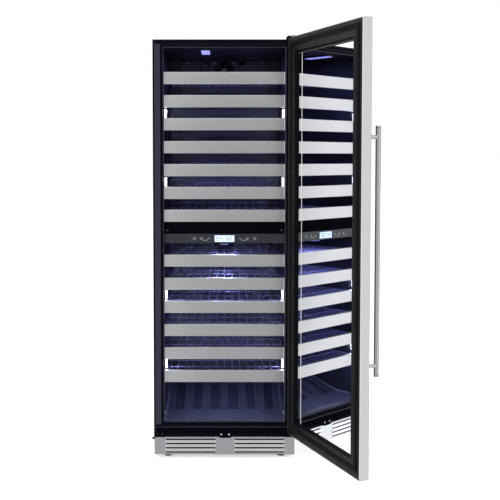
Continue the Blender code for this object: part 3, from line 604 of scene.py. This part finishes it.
def lamp_housing(bm, x, y0, y1, z):
    """A long low housing on the ceiling, open underneath for the lens."""
    for a, b in ((x - LAMP_OUT, x - LAMP_IN), (x + LAMP_IN, x + LAMP_OUT)):
        box(bm, (a, y0, z - LAMP_DEPTH), (b, y1, z), 0.0010, 2)
    for y in (y0, y1 - 0.0035):
        box(bm, (x - LAMP_OUT, y, z - LAMP_DEPTH), (x + LAMP_OUT, y + 0.0035, z), 0.0010, 2)


def lamp_lens(bm, x, y0, y1, z):
    """The lamp's lens: a row of ribs across its length."""
    count, half = 9, LAMP_IN - 0.0002
    step = (y1 - y0 - 0.008) / count
    for k in range(count):
        y = y0 + 0.004 + k * step
        box(bm, (x - half, y, z - 0.0105), (x + half, y + step - 0.0016, z - 0.0006), 0.0016, 2)


for zone, x, y0, y1, z in CEILING_LAMPS:
    piece(f"{zone}_ceiling_lamp_housing", lambda bm: lamp_housing(bm, x, y0, y1, z), LINER, slot="liner")
    piece(f"{zone}_ceiling_lamp_lens", lambda bm: lamp_lens(bm, x, y0, y1, z), LAMP_BLUE,
          slot="display_glass")

LAMP_Z = (1.436, 1.149, 0.670, 0.376)
LAMP_FRONT, LAMP_BACK, LAMP_HEIGHT = 0.040, 0.062, 0.034


def side_lamps(bm, grow, depth):
    """A box on the side walls for each lamp, larger than its lens by grow and standing depth off the wall."""
    for z in LAMP_Z:
        for sx in (-1, 1):
            x = sorted((sx * (IN_X + 0.0005), sx * (IN_X - depth)))
            lo, hi = (x[0], LAMP_FRONT - grow, z - grow), (x[1], LAMP_BACK + grow, z + LAMP_HEIGHT + grow)
            box(bm, lo, hi, 0.0008, 1)


piece("side_lamp_housings", lambda bm: side_lamps(bm, 0.002, 0.0060), PLASTIC, slot="fan_grey")
piece("side_lamp_lenses", lambda bm: side_lamps(bm, 0.0, 0.0115), LAMP, slot="display_glass")


def opening_lip(bm):
    """A fine moulded bead round the opening, just inside the front frame."""
    x, r, corner = IN_X - 0.0008, 0.0012, 0.012
    y = FLANGE_HI.y + 0.001
    for sx in (-1, 1):
        rod(bm, (sx * x, y, IN_FLOOR + corner), (sx * x, y, IN_TOP - corner), r, 6)
        start = 0 if sx > 0 else math.pi / 2
        hoop(bm, (sx * (x - corner), y, IN_TOP - 0.013), corner, r, 1, 6, 6, start, math.pi / 2)
    rod(bm, (-x + corner, y, IN_TOP - 0.001), (x - corner, y, IN_TOP - 0.001), r, 6)
    rod(bm, (-x, y, IN_FLOOR + 0.001), (x, y, IN_FLOOR + 0.001), r, 6)


piece("opening_bead", opening_lip, PLASTIC, slot="black_satin")


GROOVES, GROOVE_PITCH, GROOVE_HALF, GROOVE_DEPTH = 6, 0.080, 0.0190, 0.0080
RAMP_Y, RAMP_END, RAMP_TOP = 0.160, 0.420, DUCT_BOTTOM - 0.004
SIDE_FILLET = 0.012


def groove_edge(x, y):
    """How far a place on the floor is outside the edge of the nearest round-ended groove."""
    nearest = min(abs(x - (k - (GROOVES - 1) / 2) * GROOVE_PITCH) for k in range(GROOVES))
    centre = RAMP_Y + GROOVE_HALF
    return (nearest if y > centre else math.hypot(nearest, y - centre)) - GROOVE_HALF


def floor_height(x, y):
    """The moulded floor: flat, then a ramp, with round-ended grooves and a fillet to each side wall."""
    ramp = min(max((y - RAMP_Y) / (RAMP_END - RAMP_Y), 0.0), 1.0)
    rise = ramp * (RAMP_TOP - IN_FLOOR)
    land = 0.0004 + 0.0082 * min(max((y - 0.014) / 0.020, 0.0), 1.0)
    t = min(max((groove_edge(x, y) + 0.0022) / 0.0044, 0.0), 1.0)
    groove = GROOVE_DEPTH * (1 - t * t * (3 - 2 * t))
    u = min(max((abs(x) - (IN_X - SIDE_FILLET)) / SIDE_FILLET, 0.0), 1.0)
    fillet = SIDE_FILLET * (1 - math.sqrt(1 - u * u))
    return IN_FLOOR + rise + land - min(groove, land - 0.0002) + fillet


def moulded_floor(bm):
    """The cavity's floor as one pressed surface over the plain tub, its grooves in a darker second material:
    painted shade in the grooves.
    """
    columns, rows = 176, 104
    x0, x1, y0, y1 = -IN_X + 0.0003, IN_X - 0.0003, 0.0126, DUCT_FRONT - 0.0008
    grid = []
    for j in range(rows + 1):
        y = y0 + (y1 - y0) * j / rows
        xs = [x0 + (x1 - x0) * i / columns for i in range(columns + 1)]
        grid.append([bm.verts.new((x, y, floor_height(x, y))) for x in xs])
    for a, b in zip(grid, grid[1:]):
        for i in range(columns):
            face = bm.faces.new((a[i], a[i + 1], b[i + 1], b[i]))
            middle = face.calc_center_median()
            # Faces down in a groove take the darker second material, painted shade.
            face.material_index = int(groove_edge(middle.x, middle.y) < -0.002)


floor_piece = piece("moulded_floor", moulded_floor, LINER_FLOOR_LIT, slot="liner", smooth=60)
floor_piece.data.materials.append(LINER_GROOVE_SHADE)


def floor_beads(bm):
    """A raised bead in the fold between the floor and each side wall, pale: a painted highlight along the
    fold.
    """
    stops = (0.022, 0.09, RAMP_Y, 0.29, RAMP_END, DUCT_FRONT - 0.004)
    for sx in (-1, 1):
        x = sx * (IN_X - 0.0055)
        bent(bm, [(x, y, floor_height(x, y) + 0.0010) for y in stops], 0.0012, 8)


def floor_glint_clips(bm):
    """A small bright metal clip low on each side wall, near the opening: a guessed part that carries the
    glint at the liner's lower corner, a painted highlight.
    """
    for sx in (-1, 1):
        ball(bm, (sx * (IN_X - 0.0040), 0.030, IN_FLOOR + 0.033), 0.0042, (0.7, 1, 1.5))


piece("floor_side_beads", floor_beads, BEAD_GLINT, slot="liner")
piece("floor_glint_clips", floor_glint_clips, SCREW, slot="stainless", smooth=60)


# ------------------------------------------------------------------ front frame, base and hinges
SLOTS, SLOT_HALF = 4, 0.0030
SLOT_LOW, SLOT_HIGH = KICK_LO.z + 0.0110, KICK_HI.z - 0.0115
SLOT_Z = [SLOT_LOW + (SLOT_HIGH - SLOT_LOW) * k / (SLOTS - 1) for k in range(SLOTS)]
SLAT_SPANS = ((-0.249, -0.036), (0.042, 0.253))
SLAT_FLATNESS = 0.45
SILL_LOW, SILL_HIGH = 0.1326, 0.1348


def slat(bm):
    """Rounded slats standing between the grille's slots, a thin gap left over each slot."""
    edges = [z for slot_z in SLOT_Z for z in (slot_z - SLOT_HALF, slot_z + SLOT_HALF)][1:-1]
    for x0, x1 in SLAT_SPANS:
        for low, high in zip(edges[0::2], edges[1::2]):
            start = len(bm.verts)
            rod(bm, (x0, 0.0, (low + high) / 2), (x1, 0.0, (low + high) / 2), (high - low) / 2, 16)
            bm.verts.ensure_lookup_table()
            for v in bm.verts[start:]:
                v.co.y *= SLAT_FLATNESS


def slot_shade_plates(bm):
    """Dark plates behind the grille's slots: painted shade, so that the slots read dark."""
    for x0, x1 in SLAT_SPANS:
        box(bm, (x0 + 0.0015, 0.0085, 0.020), (x1 - 0.0015, 0.0118, 0.088))


# The slats take the brighter copy of the steel: painted highlight.
piece("toe_kick_slats", slat, STEEL_SLAT_HIGHLIT, slot="stainless")
piece("toe_kick_slot_shade_plates", slot_shade_plates, BLACK_TRIM, slot="black_plastic", smooth=0)


def sill(bm):
    """A thin raised strip along the bottom rail."""
    box(bm, (-IN_X, FLANGE_LO.y - 0.0012, SILL_LOW), (IN_X, FLANGE_LO.y + 0.001, SILL_HIGH), 0.0006, 1)


def rail_shade_plates(bm, *bands):
    """Thin near-black plates across a rail of the front frame, each between two heights: painted shade, the
    rail darker than the stiles.
    """
    half = FLANGE_HI.x - 0.009
    for low, high in bands:
        box(bm, (-half, -0.0004, low), (half, 0.0002, high), 0.0003, 1)


piece("sill_strip", sill, BLACK_FRAME, slot="black_satin")
# Painted shade below and above the sill strip; the upper band is the shadow under the floor's edge.
UNDER_SILL = (FLANGE_LO.z + 0.0075, SILL_LOW - 0.0004)
OVER_SILL = (SILL_HIGH + 0.0004, IN_FLOOR - 0.0110)
piece("bottom_rail_shade_plates", lambda bm: rail_shade_plates(bm, UNDER_SILL, OVER_SILL),
      BLACK_TRIM, slot="black_satin", smooth=0)


def frame_band(bm, half, z0, z1, width, proud):
    """A thin flat band round the front frame, its corners square."""
    for sx in (-1, 1):
        xs = sorted((sx * half, sx * (half - width)))
        box(bm, (xs[0], -proud, z0), (xs[1], 0.0002, z1), proud * 0.4, 1)
    for a, b in ((z0, z0 + width), (z1 - width, z1)):
        box(bm, (-half + width, -proud, a), (half - width, 0.0002, b), proud * 0.4, 1)


def opening_band(bm):
    """A band round the cavity's opening."""
    frame_band(bm, IN_X + 0.0105, IN_FLOOR - 0.0105, IN_TOP + 0.0105, 0.0095, 0.0005)


def edge_band(bm):
    """A band round the front frame's outer edge."""
    inset = 0.0008
    frame_band(bm, FLANGE_HI.x - inset, FLANGE_LO.z + inset, FLANGE_HI.z - inset, 0.0060, 0.0007)


# Painted shade across the top rail, darker than the stiles.
piece("top_rail_shade_plates", lambda bm: rail_shade_plates(bm, (IN_TOP + 0.012, FLANGE_HI.z - 0.0075)),
      BLACK_TRIM, slot="black_satin", smooth=0)
piece("opening_band", opening_band, BLACK_TRIM, slot="black_plastic", smooth=0)
piece("edge_band", edge_band, BLACK_TRIM, slot="black_plastic", smooth=0)

CATCH_X = 0.003
BRACKET_X = FLANGE_LO.x + 0.001


def catch(bm):
    """The magnetic catch's plate under the opening, with its lip."""
    box(bm, (CATCH_X - 0.029, -0.0030, 0.0925), (CATCH_X + 0.029, -0.0003, 0.1090), 0.0010, 2)
    box(bm, (CATCH_X - 0.023, -0.0062, 0.0880), (CATCH_X + 0.023, -0.0003, 0.0965), 0.0016, 2)


piece("door_catch", catch, BLACK_TRIM, slot="hinge_black")
piece("door_catch_screws",
      screws([(CATCH_X + x, -0.0028, 0.1025) for x in (-0.0164, 0.0163)], FORWARD, 0.0040),
      SCREW, slot="stainless")


def spare_bracket(bm):
    """The second hinge bracket at the other corner, for a door hung on the left."""
    x0 = BRACKET_X
    box(bm, (x0, -0.0055, 0.0925), (x0 + 0.044, -0.0003, 0.1085), 0.0010, 2)
    box(bm, (x0 + 0.002, -0.0120, 0.0960), (x0 + 0.026, -0.0040, 0.1010), 0.0010, 2)
    profile = [(0, 0.0052), (0.0035, 0.0055), (0.0075, 0.0048), (0.0095, 0.0030)]
    lathe(bm, (x0 + 0.002, -0.0070, 0.0890), (-1, 0, 0), profile, 16)


piece("spare_hinge_bracket", spare_bracket, BLACK_TRIM, slot="hinge_black")
piece("spare_bracket_screws",
      screws([(BRACKET_X + x, -0.0053, 0.1048) for x in (0.0135, 0.0345)], FORWARD, 0.0032),
      SCREW_BLACK, slot="hinge_black")


def top_cap(bm):
    """The cap over the upper hinge's pin, and the hinge's two screws."""
    lo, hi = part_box("upper_hinge")
    profile = [(0, 0.0085), (0.0016, 0.0085), (0.0026, 0.0070), (0.0026, 0.004), (0.0014, 0.0032)]
    lathe(bm, (PIVOT.x, PIVOT.y, hi.z - 0.0004), (0, 0, 1), profile, 20)
    for x in (hi.x - 0.010, lo.x + 0.010):
        screw_head(bm, (x, hi.y - 0.014, hi.z - 0.0002), (0, 0, 1), 0.0040, 0.0020)


piece("upper_hinge_cap", top_cap, SCREW_BLACK, slot="hinge_black")


# ------------------------------------------------------------------ door
# The closed door's half width, and its face away from the cabinet.
DOOR_HALF, DOOR_FACE_Y = 0.2965, -0.045


def ring(bm, half, z0, z1, width, y0, y1, r=0.0, seg=2):
    """Four bars round a rectangle: the uprights full height, the rails between them."""
    for sx in (-1, 1):
        xs = sorted((sx * half, sx * (half - width)))
        box(bm, (xs[0], y0, z0), (xs[1], y1, z1), r, seg)
    for a, b in ((z0, z0 + width), (z1 - width, z1)):
        box(bm, (-half + width + 0.0002, y0, a), (half - width - 0.0002, y1, b), r, seg)


def loop(bm, half, low, high, r, y):
    """A round bar along the four sides of a rectangle."""
    bent(bm, [(-half, y, low), (half, y, low), (half, y, high), (-half, y, high), (-half, y, low)], r, 8)


def mitres(bm):
    """Fine joint lines across the corners of the steel frame's face."""
    width, start, y = 0.060, 0.0025, DOOR_FACE_Y - 0.00012
    for sx in (-1, 1):
        for z, s in ((DOOR_LOW, 1), (DOOR_TOP, -1)):
            a = Vector((sx * (DOOR_HALF - start), y, z + s * start))
            b = Vector((sx * (DOOR_HALF - width), y, z + s * width))
            rod(bm, a, b, 0.00022, 4)


def door_ring(inset, width, y0, y1, r, seg):
    """What builds four bars round the door, their outer faces inset from its edge."""
    return lambda bm: ring(bm, DOOR_HALF - inset, DOOR_LOW + inset, DOOR_TOP - inset, width, y0, y1, r, seg)


def rail_ridges(bm):
    """Round ridges running round the door's inner frame."""
    for inset in (0.0065, 0.0125, 0.0450, 0.0520, 0.0585):
        loop(bm, DOOR_HALF - inset, DOOR_LOW + inset, DOOR_TOP - inset, 0.0011, -0.0063)


def top_band(bm, low, high, y):
    """A printed border across the top of the glazing."""
    half, z = 0.2300, DOOR_TOP - 0.0660
    box(bm, (-half, y - 0.0004, z - high), (half, y, z - low), 0.0001, 1)


def seal_strip(bm):
    """A pale sealing line on the cabinet side of the glazing, near the hinge."""
    x, half, inset = 0.1880, 0.0016, 0.070
    box(bm, (x - half, -0.0160, DOOR_LOW + inset), (x + half, -0.0154, DOOR_TOP - inset), 0.0002, 1)


def gasket(bm):
    """Magnetic seal: a flat foot with three round beads on it."""
    half, low, high = 0.2770, GASKET_LO.z, GASKET_HI.z
    ring(bm, half, low, high, 0.0180, -0.0056, -0.0040, 0.0004, 1)
    for inset, r, y in ((0.0045, 0.0019, -0.0031), (0.0090, 0.0021, -0.0033), (0.0140, 0.0017, -0.0033)):
        loop(bm, half - inset, low + inset, high - inset, r, y)


def door_piece(name, build, mat, slot, **more):
    """A visible piece of the door."""
    return piece(name, build, mat, "door", slot, door=True, **more)


door_piece("door_corner_joints", mitres, BLACK_TRIM, "black_plastic")
door_piece("glazing_bead_inner", door_ring(0.0635, 0.0055, -0.0164, -0.0085, 0.0016, 2),
           DOOR_BLACK, "black_plastic")
door_piece("glazing_bead_outer", door_ring(0.0593, 0.0040, -0.0440, -0.0412, 0.0010, 2),
           BLACK_TRIM, "black_plastic")
door_piece("glazing_spacer", door_ring(0.0565, 0.0140, -0.0362, -0.0212, 0.0008, 1), SPACER, "aluminium")
door_piece("door_rail_ridges", rail_ridges, RIDGE, "black_plastic")
door_piece("glazing_top_band_dark", lambda bm: top_band(bm, 0.0, 0.0100, -0.0158),
           DOOR_BLACK, "black_plastic", smooth=0)
door_piece("glazing_top_band", lambda bm: top_band(bm, 0.0015, 0.0070, -0.0155),
           SPACER, "black_plastic", smooth=0)
door_piece("glazing_seal_strip", seal_strip, CREAM, "aluminium", smooth=0)
door_piece("gasket_profile", gasket, RUBBER, "rubber", stands_for=["door_gasket"])

BAR_X, BAR_Y, BAR_R = -0.267, -0.090, 0.0095
POST_INSET, GROOVE_INSET, GROOVE_HEIGHT = 0.041, 0.0085, 0.0012


def handle(bm):
    """A round bar with eased ends, and its two posts, each with a collar at the door."""
    e, length = 0.0016, HANDLE_HI.z - HANDLE_LO.z
    end = [(0, BAR_R - 2 * e), (e * 0.5, BAR_R - e * 0.6), (e * 1.4, BAR_R)]
    lathe(bm, (BAR_X, BAR_Y, HANDLE_LO.z), (0, 0, 1), end + [(length - d, r) for d, r in reversed(end)], 40)
    post = [(0, 0.0105), (0.002, 0.0105), (0.0032, 0.0095),
            (0.0036, 0.0068), (0.030, 0.0065), (0.0385, 0.0078)]
    for z in (HANDLE_LO.z + POST_INSET, HANDLE_HI.z - POST_INSET):
        lathe(bm, (BAR_X, DOOR_FACE_Y - 0.0003, z), FORWARD, post, 28)


def handle_bands(bm):
    """A thin dark line round the bar near each end."""
    r = BAR_R + 0.00008
    for z in (HANDLE_LO.z + GROOVE_INSET, HANDLE_HI.z - GROOVE_INSET):
        lathe(bm, (BAR_X, BAR_Y, z - GROOVE_HEIGHT / 2), (0, 0, 1), [(0, r), (GROOVE_HEIGHT, r)], 40)


door_piece("handle_bar", handle, STEEL_HANDLE, "stainless", stands_for=["handle"])
door_piece("handle_grooves", handle_bands, BLACK_TRIM, "black_plastic")


# ------------------------------------------------------------------ back
REAR_ROWS = (0.14, 0.46, 0.78, 1.10, 1.42, 1.735)
REAR_SPOTS = [(x, REAR_Y - 0.0002, z) for z in REAR_ROWS for x in (-0.288, 0.288)]
REAR_SPOTS += [(x, REAR_Y - 0.0002, z) for x in (-0.14, 0.0, 0.14) for z in (0.030, 1.744)]
RIB_HALF, RIB_R = 0.25, 0.0036
PLATE_LEFT, PLATE_RIGHT, PLATE_LOW, PLATE_HIGH = -0.23, -0.14, 0.33, 0.39


def rear_ribs(bm):
    """Pressed stiffening beads across the rear sheet."""
    y = REAR_Y - 0.0007
    for z in (0.50, 0.85, 1.20, 1.55):
        rod(bm, (-RIB_HALF, y, z), (RIB_HALF, y, z), RIB_R, 12)
        for x in (-RIB_HALF, RIB_HALF):
            ball(bm, (x, y, z), RIB_R)


def inlet(bm):
    """The power inlet: its flange and the collar round its pins."""
    box(bm, (0.200, REAR_Y - 0.0005, 0.105), (0.248, REAR_Y + 0.0030, 0.137), 0.0012, 2)
    x0, x1, z0, z1, t = 0.205, 0.243, 0.109, 0.133, 0.003
    y0, y1 = REAR_Y + 0.0025, REAR_Y + 0.0085
    for a, b, low, high in ((x0, x1, z0, z0 + t), (x0, x1, z1 - t, z1),
                            (x0, x0 + t, z0, z1), (x1 - t, x1, z0, z1)):
        box(bm, (a, y0, low), (b, y1, high))


def inlet_pins(bm):
    """The power inlet's three flat pins."""
    for x in (0.216, 0.224, 0.232):
        box(bm, (x - 0.001, REAR_Y + 0.0025, 0.1185), (x + 0.001, REAR_Y + 0.0075, 0.1235))


def rating_plate(bm):
    """A blank plate."""
    box(bm, (PLATE_LEFT, REAR_Y - 0.0002, PLATE_LOW), (PLATE_RIGHT, REAR_Y + 0.0003, PLATE_HIGH), 0.0001, 1)


piece("rear_screws", screws(REAR_SPOTS, BACKWARD, 0.0045, 0.0020), SCREW, slot="stainless")
piece("rear_stiffening_beads", rear_ribs, ZINC, slot="galvanised")
piece("power_inlet", inlet, PLASTIC, slot="black_plastic")
piece("power_inlet_pins", inlet_pins, SCREW, slot="stainless", smooth=0)
piece("rating_plate", rating_plate, LABEL, slot="aluminium", smooth=0)


# ------------------------------------------------------------------ stage, lights and camera
GLOW_VIOLET, GLOW_PALE = (0.50, 0.53, 1.0), (0.60, 0.66, 1.0)
# Brightness of the studio round the compass: left, front (a quarter), right (a half), back, left again.
STUDIO = ((0.00, 0.56), (0.06, 0.80), (0.11, 1.00), (0.18, 0.36), (0.25, 0.27), (0.32, 0.36), (0.40, 0.56),
          (0.50, 0.56), (0.56, 0.20), (0.68, 0.08), (0.76, 0.24), (0.85, 0.68), (0.95, 0.68), (1.00, 0.56))
STUDIO_GAIN = 2.0
# The camera's place, its downward tilt in degrees, its focal length in millimetres and its shift.
CAMERA_AT, CAMERA_DIP = (0.0, -3.666, 1.268), 3.0
CAMERA_LENS, CAMERA_SHIFT = 63.5, (0.0511, -0.0923)


def stage():
    """The pale floor."""
    mat = grained("floor_paper", (0.93, 0.93, 0.93), 0.85, 0.0, (1, 1, 1), 30, 0.03, 0.01, 0.0,
                  emit=(1, 1, 1), strength=0.36)
    mesh = bpy.data.meshes.new("floor")
    bm = bmesh.new()
    bmesh.ops.create_grid(bm, x_segments=1, y_segments=1, size=30)
    bm.to_mesh(mesh)
    bm.free()
    mesh.materials.append(mat)
    floor = bpy.data.objects.new("floor", mesh)
    floor.location.z = -0.0005
    floor.visible_glossy = False
    bpy.context.scene.collection.objects.link(floor)
    floor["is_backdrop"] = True


def area(name, at, to, size, power, colour=(1, 1, 1), mirrored=True):
    """A rectangular lamp, which may be left out of mirror reflections."""
    data = bpy.data.lights.new(name, "AREA")
    data.shape = "RECTANGLE"
    data.size, data.size_y = size
    data.energy = power
    data.color = colour
    obj = bpy.data.objects.new(name, data)
    obj.location = at
    obj.rotation_mode = "QUATERNION"
    obj.rotation_quaternion = (Vector(to) - Vector(at)).to_track_quat("-Z", "Y")
    obj.visible_glossy = mirrored
    bpy.context.scene.collection.objects.link(obj)


def studio_lights():
    """Two soft keys and a top light."""
    area("key_left", (-3.0, -2.9, 1.9), (0.0, 0.0, 0.95), (1.8, 2.8), 60, mirrored=False)
    area("key_right", (3.1, -2.6, 1.5), (0.4, -0.4, 0.9), (1.6, 3.0), 50, mirrored=False)
    area("top", (0.0, -0.4, 4.2), (0.0, 0.0, 0.8), (3.0, 3.0), 60)


def cavity_lights():
    """What the cooler's own lamps throw on its inside."""
    top, middle = IN_TOP - 0.014, DIVIDER_LO.z - 0.014
    area("upper_zone_glow", (0.0, 0.12, top), (0.0, 0.16, 1.0), (0.22, 0.014), 3.4, GLOW_VIOLET, False)
    area("lower_zone_glow", (0.0, 0.13, middle), (0.0, 0.14, 0.3), (0.09, 0.014), 2.0, GLOW_VIOLET)
    area("upper_back_glow", (0.0, 0.50, 1.06), (0.0, 0.30, 1.70), (0.36, 0.02), 1.1, GLOW_VIOLET, False)
    area("lower_back_glow", (0.0, 0.50, 0.34), (0.0, 0.30, 0.90), (0.36, 0.02), 0.9, GLOW_VIOLET, False)
    area("bottom_glow", (0.0, 0.05, 0.330), (0.0, 0.10, 0.15), (0.44, 0.02), 1.5, GLOW_PALE, False)
    size = (0.014, LAMP_HEIGHT)
    for n, z in enumerate(LAMP_Z):
        for side in (-1, 1):
            at = (side * (IN_X - 0.014), 0.052, z + 0.018)
            area(f"side_glow_{n}_{side}", at, (0.0, 0.20, z), size, 0.55, GLOW_PALE)


def studio_world():
    """A white backdrop for the camera, and panels of different brightness for every other ray."""
    world = bpy.data.worlds.new("studio")
    bpy.context.scene.world = world
    world.use_nodes = True
    tree = world.node_tree
    sky = tree.nodes["Background"]
    sky.inputs["Color"].default_value = (1.0, 1.0, 1.0, 1.0)
    way = node(tree, "ShaderNodeTexCoord")
    split = node(tree, "ShaderNodeSeparateXYZ")
    tree.links.new(way.outputs["Generated"], split.inputs[0])
    angle = node(tree, "ShaderNodeMath", operation="ARCTAN2")
    tree.links.new(split.outputs["Y"], angle.inputs[0])
    tree.links.new(split.outputs["X"], angle.inputs[1])
    compass = node(tree, "ShaderNodeMapRange")
    compass.inputs["From Min"].default_value = -math.pi
    compass.inputs["From Max"].default_value = math.pi
    tree.links.new(angle.outputs[0], compass.inputs["Value"])
    panels = node(tree, "ShaderNodeValToRGB")
    tree.links.new(compass.outputs["Result"], panels.inputs["Fac"])
    elements = panels.color_ramp.elements
    while len(elements) < len(STUDIO):
        elements.new(0.5)
    for element, (position, level) in zip(elements, STUDIO):
        element.position = position
        element.color = (level, level, level, 1.0)
    gain = node(tree, "ShaderNodeMath", operation="MULTIPLY")
    gain.inputs[1].default_value = STUDIO_GAIN
    tree.links.new(panels.outputs["Color"], gain.inputs[0])
    seen = node(tree, "ShaderNodeLightPath")
    pick = node(tree, "ShaderNodeMath", operation="MAXIMUM")
    tree.links.new(seen.outputs["Is Camera Ray"], pick.inputs[0])
    tree.links.new(gain.outputs[0], pick.inputs[1])
    tree.links.new(pick.outputs[0], sky.inputs["Strength"])


def camera():
    """The photograph's viewing angle."""
    data = bpy.data.cameras.new("camera")
    data.sensor_width = 36.0
    data.lens = CAMERA_LENS
    data.shift_x, data.shift_y = CAMERA_SHIFT
    obj = bpy.data.objects.new("camera", data)
    obj.location = CAMERA_AT
    obj.rotation_euler = (math.radians(90.0 - CAMERA_DIP), 0.0, 0.0)
    bpy.context.scene.collection.objects.link(obj)
    bpy.context.scene.camera = obj


stage()
studio_lights()
cavity_lights()
studio_world()
camera()
bpy.context.scene.view_settings.view_transform = "Standard"
bpy.context.scene.view_settings.look = "None"

bpy.context.view_layer.update()
lo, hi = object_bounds()
